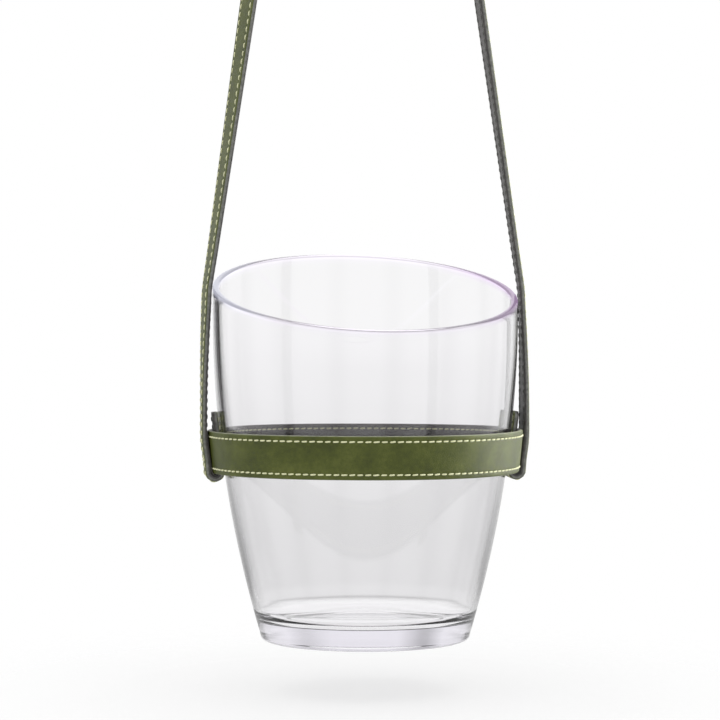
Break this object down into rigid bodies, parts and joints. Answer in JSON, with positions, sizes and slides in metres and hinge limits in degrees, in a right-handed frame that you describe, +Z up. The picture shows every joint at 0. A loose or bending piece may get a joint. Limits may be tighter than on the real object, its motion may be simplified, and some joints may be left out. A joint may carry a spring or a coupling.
{
  "type": "hanging champagne bucket",
  "caption": "Clear tulip-shaped bucket with a slanted rim, carried in a leather band on a long sewn leather strap that hangs from a hook and folds down at the band.",
  "frame": {"origin": "underside of the strap at the top of its bend, where it rests on a hook", "axes": "+Z up; the strap's two legs come down at +X and -X; the bucket's rim is lowest towards -Y and highest towards +Y, turned 3.5 degrees from it towards -X"},
  "size_m": [0.203, 0.186, 0.7547],
  "materials": {
    "clear_acrylic": "clear, polished",
    "green_leather": "fine grain, satin",
    "dark_lining": "matt, with painted edges",
    "pale_thread": "waxed sewing thread"
  },
  "bodies": {
    "strap": {"strap_leather": "green_leather", "strap_lining": "dark_lining", "strap_thread_front": "pale_thread", "strap_thread_back": "pale_thread", "strap_inner_thread_front": "pale_thread", "strap_inner_thread_back": "pale_thread"},
    "bucket": {"bucket_shell": "clear_acrylic", "band_leather": "green_leather", "band_lining": "dark_lining", "band_thread_top": "pale_thread", "band_thread_bottom": "pale_thread", "left_loop_leather": "green_leather", "left_loop_lining": "dark_lining", "left_loop_thread_front": "pale_thread", "left_loop_thread_back": "pale_thread", "left_join_thread": "pale_thread", "right_loop_leather": "green_leather", "right_loop_lining": "dark_lining", "right_loop_thread_front": "pale_thread", "right_loop_thread_back": "pale_thread", "right_join_thread": "pale_thread"}
  },
  "joints": [
    {"name": "bucket_swing", "type": "hinge", "parent": "strap", "child": "bucket", "pos_m": [0, 0, -0.61223], "axis": [1, 0, 0], "range_deg": [-90, 90]}
  ]
}
